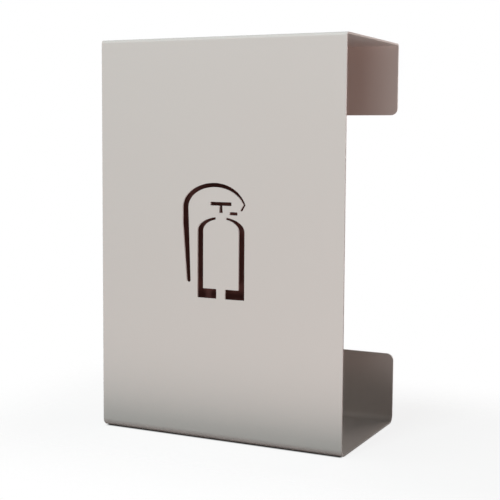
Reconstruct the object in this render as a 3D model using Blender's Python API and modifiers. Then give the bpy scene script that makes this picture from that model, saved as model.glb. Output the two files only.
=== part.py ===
"""Wall or floor holder for a fire extinguisher, folded from one sheet of steel.

The sheet runs from the upper wall flange over the top, down the tall front,
under the bottom plate and up into the lower wall flange. Both sides and the
middle of the back stay open. The front carries the safety figure of an
extinguisher, cut through as five slots. All lengths are in metres.
X runs along the width, the front faces -Y and Z is up. The origin is under
the middle of the base.
"""

import math

import bmesh
import bpy
from mathutils import Matrix

# Folded sheet
WIDTH = 0.300
HEIGHT = 0.450
DEPTH = 0.170
SHEET = 0.002
TOP_BEND_RADIUS = 0.002
BOTTOM_BEND_RADIUS = 0.007
BEND_STEPS = 12
FLANGE_HEIGHT = 0.083
FLANGE_CORNER = 0.008
CORNER_STEPS = 6

# Holes for the wall screws, four in a rectangle
WALL_HOLE_RADIUS = 0.0035
WALL_HOLE_FROM_SIDE = 0.075
WALL_HOLE_FROM_END = 0.040
WALL_HOLE_SIDES = 32

# Place of the figure: its bottle's axis from the panel's middle, its foot from the ground
FIGURE_AXIS = 0.0045
FIGURE_FOOT = 0.1611
CURVE_STEPS = 20
CUT_OVERRUN = 0.004

# Bottle of the figure, two slots that leave the neck and the foot joined to the panel
BOTTLE_HALF_WIDTH = 0.0292
BOTTLE_SLOT = 0.0073
FOOT_SLOT = 0.0111
FOOT_BRIDGE = 0.0107
SHOULDER_START = 0.0755
SHOULDER_RISE = 0.0159
SHOULDER_SLOT = 0.0024
NECK_BRIDGE = 0.0128

# Lever with its stem, and the nozzle beside it
BAR_CORNER = 0.0008
LEVER_LENGTH = 0.0263
LEVER_SLOT = 0.0041
LEVER_HEIGHT = 0.1059
STEM_TOP_WIDTH = 0.0036
STEM_FOOT_WIDTH = 0.0047
STEM_BOTTOM = 0.0959
NOZZLE_LENGTH = 0.0098
NOZZLE_SLOT = 0.0036
NOZZLE_OFFSET = 0.0156
NOZZLE_HEIGHT = 0.0955

# Hose: an arch of two quarter ellipses that thins toward its tip, a tail and a short hook
HOSE_CROWN = -0.0077
HOSE_TOP = 0.1289
HOSE_LEFT_SPAN = 0.0403
HOSE_LEFT_RISE = 0.0280
HOSE_RIGHT_SPAN = 0.0395
HOSE_RIGHT_RISE = 0.0329
HOSE_SLOT_LEFT = 0.0073
HOSE_SLOT_TOP = 0.0047
HOSE_SLOT_RIGHT = 0.0024
HOSE_TIP_HEIGHT = 0.1052
HOSE_STRAIGHT = 0.0175
HOSE_TAIL_HEIGHT = 0.0194
HOSE_TAIL_SLANT = 0.00395
HOSE_TAIL_SLOT = 0.0052
HOOK_REACH = 0.0044
HOOK_DROP = 0.0073
HOOK_SLOT = 0.0027

# Powder coat, as a linear colour
COAT_COLOUR = (0.571, 0.546, 0.515, 1.0)
COAT_ROUGHNESS = 0.45

FRONT = -DEPTH / 2
REAR = DEPTH / 2


def clear_scene():
    """Remove whatever the file holds before the model is built."""
    for item in list(bpy.data.objects):
        bpy.data.objects.remove(item, do_unlink=True)


def new_collection(name):
    """Add a collection to the scene."""
    collection = bpy.data.collections.new(name)
    bpy.context.scene.collection.children.link(collection)
    return collection


def arc(centre, radii, start, end, steps):
    """Points on an ellipse from one angle to another, in degrees."""
    points = []
    for step in range(steps + 1):
        angle = math.radians(start + (end - start) * step / steps)
        across = centre[0] + radii[0] * math.cos(angle)
        up = centre[1] + radii[1] * math.sin(angle)
        points.append((across, up))
    return points


def fold_profile():
    """Outer face of the sheet from the side, upper flange first."""
    top = TOP_BEND_RADIUS + SHEET
    bottom = BOTTOM_BEND_RADIUS + SHEET
    points = [(REAR, HEIGHT - FLANGE_HEIGHT)]
    points += arc((REAR - top, HEIGHT - top), (top, top), 0, 90, BEND_STEPS)
    points += arc((FRONT + top, HEIGHT - top), (top, top), 90, 180, BEND_STEPS)
    points += arc((FRONT + bottom, bottom), (bottom, bottom), 180, 270, BEND_STEPS)
    points += arc((REAR - bottom, bottom), (bottom, bottom), 270, 360, BEND_STEPS)
    points += [(REAR, FLANGE_HEIGHT)]
    return points


def folded_sheet(collection):
    """Sweep the profile across the width and give it the sheet's thickness."""
    mesh = bpy.data.meshes.new("holder_sheet")
    bm = bmesh.new()
    start = [bm.verts.new((WIDTH / 2, y, z)) for y, z in fold_profile()]
    edges = [bm.edges.new(pair) for pair in zip(start, start[1:])]
    swept = bmesh.ops.extrude_edge_only(bm, edges=edges)["geom"]
    end = [item for item in swept if isinstance(item, bmesh.types.BMVert)]
    bmesh.ops.translate(bm, verts=end, vec=(-WIDTH, 0, 0))
    corners = [vert for vert in bm.verts if len(vert.link_edges) == 2]
    bmesh.ops.bevel(
        bm,
        geom=corners,
        offset=FLANGE_CORNER,
        offset_type="OFFSET",
        segments=CORNER_STEPS,
        profile=0.5,
        affect="VERTICES",
    )
    bm.to_mesh(mesh)
    bm.free()
    sheet = bpy.data.objects.new("holder_sheet", mesh)
    collection.objects.link(sheet)
    solidify = sheet.modifiers.new("sheet thickness", "SOLIDIFY")
    solidify.thickness = SHEET
    solidify.offset = -1
    solidify.use_even_offset = True
    return sheet


def as_cutter(cutter, collection):
    """Keep a cutter out of the model and draw it as a wire."""
    collection.objects.link(cutter)
    cutter.hide_render = True
    cutter.display_type = "WIRE"
    return cutter


def figure_cutter(name, outline, collection):
    """Turn an outline on the front panel into a solid that passes through the sheet."""
    curve = bpy.data.curves.new(name, "CURVE")
    curve.dimensions = "2D"
    curve.fill_mode = "BOTH"
    curve.extrude = SHEET / 2 + CUT_OVERRUN
    spline = curve.splines.new("POLY")
    spline.points.add(len(outline) - 1)
    for point, (across, up) in zip(spline.points, outline):
        point.co = (across, up, 0, 1)
    spline.use_cyclic_u = True
    drawn = bpy.data.objects.new(name, curve)
    collection.objects.link(drawn)
    drawn.location = (FIGURE_AXIS, FRONT + SHEET / 2, FIGURE_FOOT)
    drawn.rotation_euler = (math.radians(90), 0, 0)
    bpy.context.view_layer.update()
    mesh = bpy.data.meshes.new_from_object(drawn.evaluated_get(bpy.context.evaluated_depsgraph_get()))
    place = drawn.matrix_world.copy()
    bpy.data.objects.remove(drawn)
    bm = bmesh.new()
    bm.from_mesh(mesh)
    bmesh.ops.remove_doubles(bm, verts=bm.verts, dist=0.000001)
    bmesh.ops.recalc_face_normals(bm, faces=bm.faces)
    bm.to_mesh(mesh)
    bm.free()
    cutter = bpy.data.objects.new(name, mesh)
    cutter.matrix_world = place
    return as_cutter(cutter, collection)


def bottle_outline(side):
    """One half of the bottle: foot, side and tapered shoulder. Side is -1 or 1."""
    outer = (BOTTLE_HALF_WIDTH, SHOULDER_RISE)
    inner_half = BOTTLE_HALF_WIDTH - BOTTLE_SLOT
    inner = (inner_half, SHOULDER_RISE - SHOULDER_SLOT)
    shoulder = (0, SHOULDER_START)
    neck = NECK_BRIDGE / 2
    outer_end = 180 - math.degrees(math.acos(neck / outer[0]))
    inner_end = 180 - math.degrees(math.acos(neck / inner[0]))
    points = [(-FOOT_BRIDGE / 2, FOOT_SLOT), (-FOOT_BRIDGE / 2, 0), (-BOTTLE_HALF_WIDTH, 0)]
    points += arc(shoulder, outer, 180, outer_end, CURVE_STEPS)
    points += arc(shoulder, inner, inner_end, 180, CURVE_STEPS)
    points += [(-inner_half, FOOT_SLOT)]
    return [(-side * across, up) for across, up in points]


def rounded_bar(centre, length, height):
    """Bar with small round corners, clockwise from its lower left one."""
    corner = (BAR_CORNER, BAR_CORNER)
    across = length / 2 - BAR_CORNER
    up = height / 2 - BAR_CORNER
    points = []
    for turn, (side, level) in enumerate(((-1, -1), (-1, 1), (1, 1), (1, -1))):
        middle = (centre[0] + side * across, centre[1] + level * up)
        start = 270 - 90 * turn
        points += arc(middle, corner, start, start - 90, CORNER_STEPS)
    return points


def lever_outline():
    """Lever as a bar on a short stem that widens downward."""
    bar = rounded_bar((0, LEVER_HEIGHT), LEVER_LENGTH, LEVER_SLOT)
    under = LEVER_HEIGHT - LEVER_SLOT / 2
    top = STEM_TOP_WIDTH / 2
    foot = STEM_FOOT_WIDTH / 2
    return bar + [(top, under), (foot, STEM_BOTTOM), (-foot, STEM_BOTTOM), (-top, under)]


def nozzle_outline():
    """Nozzle as a short bar."""
    return rounded_bar((NOZZLE_OFFSET, NOZZLE_HEIGHT), NOZZLE_LENGTH, NOZZLE_SLOT)


def arch(top, left, right):
    """Two quarter ellipses that meet at the crown; the right one ends at the hose's tip."""
    right_centre = top - right[1]
    tip = math.degrees(math.asin((HOSE_TIP_HEIGHT - right_centre) / right[1]))
    points = arc((HOSE_CROWN, top - left[1]), left, 180, 90, CURVE_STEPS)
    return points + arc((HOSE_CROWN, right_centre), right, 90, tip, CURVE_STEPS)[1:]


def hose_outline():
    """Hose from its straight left side over the arch to the hook, and down to its round end."""
    outer = arch(
        HOSE_TOP,
        (HOSE_LEFT_SPAN, HOSE_LEFT_RISE),
        (HOSE_RIGHT_SPAN, HOSE_RIGHT_RISE),
    )
    inner = arch(
        HOSE_TOP - HOSE_SLOT_TOP,
        (HOSE_LEFT_SPAN - HOSE_SLOT_LEFT, HOSE_LEFT_RISE - HOSE_SLOT_TOP),
        (HOSE_RIGHT_SPAN - HOSE_SLOT_RIGHT, HOSE_RIGHT_RISE - HOSE_SLOT_TOP),
    )
    tip = outer[-1]
    length = math.hypot(HOOK_REACH, HOOK_DROP)
    end = (tip[0] - HOOK_REACH, tip[1] - HOOK_DROP)
    back = (end[0] - HOOK_SLOT * HOOK_DROP / length, end[1] + HOOK_SLOT * HOOK_REACH / length)
    left, shoulder = outer[0]
    tail_radius = HOSE_TAIL_SLOT / 2
    tail = (left + HOSE_SLOT_LEFT / 2 + HOSE_TAIL_SLANT, HOSE_TAIL_HEIGHT)
    points = [(left, shoulder - HOSE_STRAIGHT)] + outer
    points += [end, back]
    points += inner[::-1]
    points += arc(tail, (tail_radius, tail_radius), 0, -180, CURVE_STEPS // 2)
    return points


def wall_hole_cutter(name, across, up, collection):
    """Round hole through a wall flange."""
    mesh = bpy.data.meshes.new(name)
    bm = bmesh.new()
    bmesh.ops.create_cone(
        bm,
        cap_ends=True,
        segments=WALL_HOLE_SIDES,
        radius1=WALL_HOLE_RADIUS,
        radius2=WALL_HOLE_RADIUS,
        depth=SHEET + 2 * CUT_OVERRUN,
        matrix=Matrix.Rotation(math.radians(90), 4, "X"),
    )
    bm.to_mesh(mesh)
    bm.free()
    cutter = bpy.data.objects.new(name, mesh)
    cutter.location = (across, REAR - SHEET / 2, up)
    return as_cutter(cutter, collection)


def make_cutters(collection):
    """All slots of the figure and the four wall holes."""
    cutters = [
        figure_cutter("figure_bottle_left", bottle_outline(-1), collection),
        figure_cutter("figure_bottle_right", bottle_outline(1), collection),
        figure_cutter("figure_lever", lever_outline(), collection),
        figure_cutter("figure_nozzle", nozzle_outline(), collection),
        figure_cutter("figure_hose", hose_outline(), collection),
    ]
    across = WIDTH / 2 - WALL_HOLE_FROM_SIDE
    for level, up in (("lower", WALL_HOLE_FROM_END), ("upper", HEIGHT - WALL_HOLE_FROM_END)):
        cutters.append(wall_hole_cutter("wall_hole_" + level + "_left", -across, up, collection))
        cutters.append(wall_hole_cutter("wall_hole_" + level + "_right", across, up, collection))
    return cutters


def powder_coat():
    """Warm light grey powder coat."""
    material = bpy.data.materials.new("warm_grey_powder_coat")
    material.use_nodes = True
    shader = material.node_tree.nodes["Principled BSDF"]
    shader.inputs["Base Color"].default_value = COAT_COLOUR
    shader.inputs["Roughness"].default_value = COAT_ROUGHNESS
    shader.inputs["Metallic"].default_value = 0.0
    return material


def main():
    """Build the holder."""
    clear_scene()
    parts = new_collection("fire_extinguisher_holder")
    tools = new_collection("cutters")
    sheet = folded_sheet(parts)
    for cutter in make_cutters(tools):
        cut = sheet.modifiers.new(cutter.name, "BOOLEAN")
        cut.operation = "DIFFERENCE"
        cut.solver = "EXACT"
        cut.object = cutter
    sheet.data.materials.append(powder_coat())


main()
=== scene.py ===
"""Looks of the fire extinguisher holder: powder coat, studio and camera."""

import math

import bpy
from mathutils import Matrix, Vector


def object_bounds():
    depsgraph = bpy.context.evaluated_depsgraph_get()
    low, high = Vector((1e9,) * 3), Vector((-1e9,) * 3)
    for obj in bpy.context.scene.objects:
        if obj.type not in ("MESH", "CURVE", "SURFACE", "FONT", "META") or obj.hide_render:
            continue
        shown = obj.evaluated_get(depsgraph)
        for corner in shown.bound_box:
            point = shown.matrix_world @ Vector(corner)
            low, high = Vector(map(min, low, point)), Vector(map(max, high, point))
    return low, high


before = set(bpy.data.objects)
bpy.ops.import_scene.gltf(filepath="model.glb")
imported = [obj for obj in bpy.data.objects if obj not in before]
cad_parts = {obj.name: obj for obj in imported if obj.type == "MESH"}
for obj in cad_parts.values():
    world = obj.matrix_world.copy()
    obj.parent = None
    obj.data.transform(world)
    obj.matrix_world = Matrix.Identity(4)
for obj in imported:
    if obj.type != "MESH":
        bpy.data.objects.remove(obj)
CAD_BOUNDS = [list(corner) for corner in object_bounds()]
FRONT = CAD_BOUNDS[0][1]
REAR = CAD_BOUNDS[1][1]
SIDE = CAD_BOUNDS[1][0]
TOP = CAD_BOUNDS[1][2]

# Camera, found from the photograph's edges: metres, degrees, and millimetres for lens and sensor
CAMERA_PLACE = (0.5585, -1.1606, 0.3423)
CAMERA_YAW = 25.722
CAMERA_PITCH = -4.909
CAMERA_ROLL = 0.354
CAMERA_LENS = 79.236
CAMERA_SENSOR = 36.0
CAMERA_SHIFT_Y = -0.04
CAMERA_NEAR = 0.01
CAMERA_FAR = 100.0

# Cut edges: metres, and the angle in degrees from which an edge counts as cut
WELD_DISTANCE = 0.000002
EDGE_ROUNDING = 0.0005
EDGE_SEGMENTS = 2
EDGE_ANGLE = 40
FLAT_FACE_WEIGHT = 100

# Powder coat: linear colours, and each noise as its features per metre and its detail
COAT_COLOUR = (0.575, 0.554, 0.529, 1.0)
COAT_COLOUR_WARM = (0.563, 0.537, 0.510, 1.0)
COAT_ROUGHNESS = (0.42, 0.54)
COAT_IOR = 1.5
CLOUDS = (9.0, 4.0)
GRAIN = (900.0, 3.0)
PEEL = (260.0, 2.0)
GRAIN_SHARE = 0.5
RELIEF_STRENGTH = 0.25
RELIEF_DEPTH = 0.00015

# Floor: linear colours, and each edge as its axis, where the floor ends and where it is whole
FLOOR_BOUNCE = (0.36, 0.26, 0.24, 1.0)
FLOOR_SEEN = (0.9, 0.9, 0.9, 1.0)
FLOOR_WHITENESS = 0.85
FLOOR_REACH = 0.45
GROUND = -0.0002
FLOOR_EDGES = (
    ("X", -SIDE - 0.25, -SIDE - 0.05),
    ("X", SIDE + 0.38, SIDE + 0.18),
    ("Y", FRONT - 0.23, FRONT - 0.02),
    ("Y", REAR + 0.25, REAR + 0.05),
)

# Contact shadow under the holder, easing out at its outline or just inside it
CONTACT_SHADOW = (0.02, 0.02, 0.02, 1.0)
CONTACT_EDGES = (
    ("X", -SIDE, -SIDE + 0.004),
    ("X", SIDE, SIDE - 0.004),
    ("Y", FRONT + 0.001, FRONT + 0.006),
    ("Y", REAR - 0.001, REAR - 0.006),
)

# Painted shade: a dark card behind the cut-out figure, so that the figure's openings look shaded from the
# front
SHADE_CARD_COLOUR = (0.090, 0.038, 0.034, 1.0)
CARD_Y = FRONT + 0.017
CARD_LEFT = -0.075
CARD_RIGHT = 0.065
CARD_FOOT = 0.12
CARD_TOP = 0.31

# Light: each soft box's name, azimuth and elevation, distance and size, watts, colour
AMBIENT = 0.06
SOFTBOXES = (
    ("key", -7, 35, 2.5, 0.6, 30.5, (0.86, 0.99, 1.0)),
    ("overhead", -40, 78, 2.0, 0.6, 13, (1.0, 1.0, 1.0)),
    ("low_front", 7, -21, 3.0, 1.1, 29.5, (1.0, 1.0, 1.0)),
    ("right_fill", 42, -20, 2.8, 1.0, 17, (1.0, 0.50, 0.42)),
    ("left_fill", -82, 5, 2.5, 0.8, 7, (1.0, 0.96, 0.94)),
    ("back_fill", 160, 12, 2.0, 1.2, 14, (1.0, 0.84, 0.78)),
)

# Layout of the shader nodes, in rows
NODES_IN_ROW = 6
NODE_WIDTH = 220
NODE_HEIGHT = 260


def node(tree, kind, **settings):
    """Add a shader node in the next place of the rows and set its properties."""
    row, column = divmod(len(tree.nodes), NODES_IN_ROW)
    made = tree.nodes.new(kind)
    made.location = (column * NODE_WIDTH, -row * NODE_HEIGHT)
    for name, value in settings.items():
        setattr(made, name, value)
    return made


def maths(tree, operation, *terms):
    """Result of a Math node; each term is a number or another node's output."""
    made = node(tree, "ShaderNodeMath", operation=operation)
    for socket, term in zip(made.inputs, terms):
        if isinstance(term, float):
            socket.default_value = term
        else:
            tree.links.new(term, socket)
    return made.outputs["Value"]


def mix_colours(tree, share, first, second):
    """First colour where the share is 0, second where it is 1."""
    made = node(tree, "ShaderNodeMix", data_type="RGBA")
    made.inputs["A"].default_value = first
    made.inputs["B"].default_value = second
    tree.links.new(share, made.inputs["Factor"])
    return made.outputs["Result"]


def mix_shaders(tree, share, first, second):
    """First shader where the share is 0, second where it is 1."""
    made = node(tree, "ShaderNodeMixShader")
    for socket, source in zip(made.inputs, (share, first, second)):
        tree.links.new(source, socket)
    return made.outputs["Shader"]


def noise(tree, coords, features, detail):
    """Noise fixed to the object, with so many features per metre."""
    made = node(tree, "ShaderNodeTexNoise")
    made.inputs["Scale"].default_value = features
    made.inputs["Detail"].default_value = detail
    tree.links.new(coords.outputs["Object"], made.inputs["Vector"])
    return made.outputs["Fac"]


def finish_edges(piece):
    """Round the cut edges as the coat does, and shade the bends smooth."""
    weld = piece.modifiers.new("weld", "WELD")
    weld.merge_threshold = WELD_DISTANCE
    bevel = piece.modifiers.new("coat over edges", "BEVEL")
    bevel.width = EDGE_ROUNDING
    bevel.segments = EDGE_SEGMENTS
    bevel.limit_method = "ANGLE"
    bevel.angle_limit = math.radians(EDGE_ANGLE)
    flat = piece.modifiers.new("flat faces stay flat", "WEIGHTED_NORMAL")
    flat.mode = "FACE_AREA"
    flat.weight = FLAT_FACE_WEIGHT
    for face in piece.data.polygons:
        face.use_smooth = True


def powder_coat():
    """Semi-matt powder coat with fine orange peel and slight unevenness."""
    material = bpy.data.materials.new("warm_grey_powder_coat")
    material.use_nodes = True
    tree = material.node_tree
    links = tree.links
    shader = tree.nodes["Principled BSDF"]
    shader.inputs["IOR"].default_value = COAT_IOR
    coords = node(tree, "ShaderNodeTexCoord")
    clouds = noise(tree, coords, *CLOUDS)
    links.new(mix_colours(tree, clouds, COAT_COLOUR, COAT_COLOUR_WARM), shader.inputs["Base Color"])
    rough = node(tree, "ShaderNodeMapRange")
    rough.inputs["To Min"].default_value = COAT_ROUGHNESS[0]
    rough.inputs["To Max"].default_value = COAT_ROUGHNESS[1]
    links.new(clouds, rough.inputs["Value"])
    links.new(rough.outputs["Result"], shader.inputs["Roughness"])
    grain = noise(tree, coords, *GRAIN)
    peel = noise(tree, coords, *PEEL)
    bump = node(tree, "ShaderNodeBump")
    bump.inputs["Strength"].default_value = RELIEF_STRENGTH
    bump.inputs["Distance"].default_value = RELIEF_DEPTH
    links.new(maths(tree, "MULTIPLY_ADD", grain, GRAIN_SHARE, peel), bump.inputs["Height"])
    links.new(bump.outputs["Normal"], shader.inputs["Normal"])
    return material


def stage_patch(name, corners, material):
    """Flat four-cornered stage surface."""
    mesh = bpy.data.meshes.new(name)
    mesh.from_pydata(corners, [], [(0, 1, 2, 3)])
    mesh.materials.append(material)
    patch = bpy.data.objects.new(name, mesh)
    bpy.context.scene.collection.objects.link(patch)


def stage_material(name):
    """New material without a shader, and its node tree."""
    material = bpy.data.materials.new(name)
    material.use_nodes = True
    tree = material.node_tree
    tree.nodes.remove(tree.nodes["Principled BSDF"])
    return material, tree


def patch_share(tree, edges):
    """1 inside the edges, easing to 0; each edge is an axis, where it is 0 and where it is 1."""
    coords = node(tree, "ShaderNodeTexCoord")
    split = node(tree, "ShaderNodeSeparateXYZ")
    tree.links.new(coords.outputs["Object"], split.inputs["Vector"])
    share = None
    for axis, end, start in edges:
        ease = node(tree, "ShaderNodeMapRange", interpolation_type="SMOOTHSTEP")
        ease.inputs["From Min"].default_value = end
        ease.inputs["From Max"].default_value = start
        tree.links.new(split.outputs[axis], ease.inputs["Value"])
        eased = ease.outputs["Result"]
        share = eased if share is None else maths(tree, "MULTIPLY", share, eased)
    return share


def showing_rays(tree):
    """1 for rays that show the surroundings: from the camera, in gloss, through glass."""
    path = node(tree, "ShaderNodeLightPath")
    reflected = maths(tree, "MAXIMUM", path.outputs["Is Glossy Ray"], path.outputs["Is Transmission Ray"])
    return maths(tree, "MAXIMUM", path.outputs["Is Camera Ray"], reflected)


def camera_rays(tree, to_front):
    """1 for camera rays that meet the surface on the side asked for."""
    path = node(tree, "ShaderNodeLightPath")
    side = node(tree, "ShaderNodeNewGeometry").outputs["Backfacing"]
    if to_front:
        side = maths(tree, "SUBTRACT", 1.0, side)
    return maths(tree, "MULTIPLY", path.outputs["Is Camera Ray"], side)


def floor_material():
    """Pale floor that keeps the shadow, eases into the white around it and hides nothing from below."""
    material, tree = stage_material("pale_floor")
    links = tree.links
    shown = showing_rays(tree)
    paint = node(tree, "ShaderNodeBsdfDiffuse")
    links.new(mix_colours(tree, shown, FLOOR_BOUNCE, FLOOR_SEEN), paint.inputs["Color"])
    white = node(tree, "ShaderNodeEmission")
    dark = node(tree, "ShaderNodeBsdfDiffuse")
    dark.inputs["Color"].default_value = CONTACT_SHADOW
    clear = node(tree, "ShaderNodeBsdfTransparent")
    # Light passes the floor under the bottom plate, so that the plate shows from below
    contact = patch_share(tree, CONTACT_EDGES)
    open_to_light = maths(tree, "MULTIPLY", contact, maths(tree, "SUBTRACT", 1.0, shown))
    not_from_below = maths(tree, "SUBTRACT", 1.0, camera_rays(tree, to_front=False))
    kept = maths(tree, "MULTIPLY", patch_share(tree, FLOOR_EDGES), not_from_below)
    solid = maths(tree, "MULTIPLY", kept, maths(tree, "SUBTRACT", 1.0, open_to_light))
    whiteness = maths(tree, "MULTIPLY", shown, FLOOR_WHITENESS)
    pale = mix_shaders(tree, whiteness, paint.outputs["BSDF"], white.outputs["Emission"])
    shaded = mix_shaders(tree, contact, pale, dark.outputs["BSDF"])
    surface = mix_shaders(tree, solid, clear.outputs["BSDF"], shaded)
    links.new(surface, tree.nodes["Material Output"].inputs["Surface"])
    return material


def shade_card_material():
    """Painted shade: a dark card, seen from its front only, that lets all light pass."""
    material, tree = stage_material("painted_shade_card")
    paint = node(tree, "ShaderNodeBsdfDiffuse")
    paint.inputs["Color"].default_value = SHADE_CARD_COLOUR
    clear = node(tree, "ShaderNodeBsdfTransparent")
    shown = camera_rays(tree, to_front=True)
    surface = mix_shaders(tree, shown, clear.outputs["BSDF"], paint.outputs["BSDF"])
    tree.links.new(surface, tree.nodes["Material Output"].inputs["Surface"])
    return material


def floor():
    """Plain floor, just under the holder."""
    left, right = -FLOOR_REACH, FLOOR_REACH
    near, far = FRONT - FLOOR_REACH, REAR + FLOOR_REACH
    corners = [(left, near, GROUND), (right, near, GROUND), (right, far, GROUND), (left, far, GROUND)]
    stage_patch("floor", corners, floor_material())


def shade_card_behind_figure():
    """Card of painted shade that keeps the cut-out figure dark from the front."""
    corners = [
        (CARD_LEFT, CARD_Y, CARD_FOOT),
        (CARD_RIGHT, CARD_Y, CARD_FOOT),
        (CARD_RIGHT, CARD_Y, CARD_TOP),
        (CARD_LEFT, CARD_Y, CARD_TOP),
    ]
    stage_patch("shade_card_behind_figure", corners, shade_card_material())


def studio_world():
    """White where it is seen, a dim even light for everything else."""
    world = bpy.data.worlds.new("studio")
    world.use_nodes = True
    bpy.context.scene.world = world
    tree = world.node_tree
    back = tree.nodes["Background"]
    strength = node(tree, "ShaderNodeMapRange")
    strength.inputs["To Min"].default_value = AMBIENT
    strength.inputs["To Max"].default_value = 1.0
    back.inputs["Color"].default_value = (1.0, 1.0, 1.0, 1.0)
    tree.links.new(showing_rays(tree), strength.inputs["Value"])
    tree.links.new(strength.outputs["Result"], back.inputs["Strength"])


def softbox(name, azimuth, elevation, distance, size, watts, colour):
    """Square area lamp round the middle of the holder; azimuth 0 is in front, 90 at the right."""
    lamp = bpy.data.lights.new(name, "AREA")
    lamp.shape = "SQUARE"
    lamp.size = size
    lamp.energy = watts
    lamp.color = colour
    box = bpy.data.objects.new(name, lamp)
    bpy.context.scene.collection.objects.link(box)
    box.matrix_world = (
        Matrix.Translation((0.0, 0.0, TOP / 2))
        @ Matrix.Rotation(math.radians(azimuth), 4, "Z")
        @ Matrix.Rotation(math.radians(90 - elevation), 4, "X")
        @ Matrix.Translation((0.0, 0.0, distance))
    )


def camera():
    """Camera at the photograph's place."""
    data = bpy.data.cameras.new("camera")
    data.sensor_width = CAMERA_SENSOR
    data.lens = CAMERA_LENS
    data.shift_y = CAMERA_SHIFT_Y
    data.clip_start = CAMERA_NEAR
    data.clip_end = CAMERA_FAR
    eye = bpy.data.objects.new("camera", data)
    bpy.context.scene.collection.objects.link(eye)
    eye.matrix_world = (
        Matrix.Translation(CAMERA_PLACE)
        @ Matrix.Rotation(math.radians(CAMERA_YAW), 4, "Z")
        @ Matrix.Rotation(math.radians(90 + CAMERA_PITCH), 4, "X")
        @ Matrix.Rotation(math.radians(CAMERA_ROLL), 4, "Z")
    )
    bpy.context.scene.camera = eye


def dress(piece):
    """Give the folded sheet its coat and its rounded edges."""
    coat = powder_coat()
    if not piece.material_slots:
        piece.data.materials.append(coat)
    for slot in piece.material_slots:
        slot.material = coat
    finish_edges(piece)


camera()
dress(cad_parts["holder_sheet"])
floor()
shade_card_behind_figure()
studio_world()
for settings in SOFTBOXES:
    softbox(*settings)
bpy.context.scene.view_settings.view_transform = "Standard"
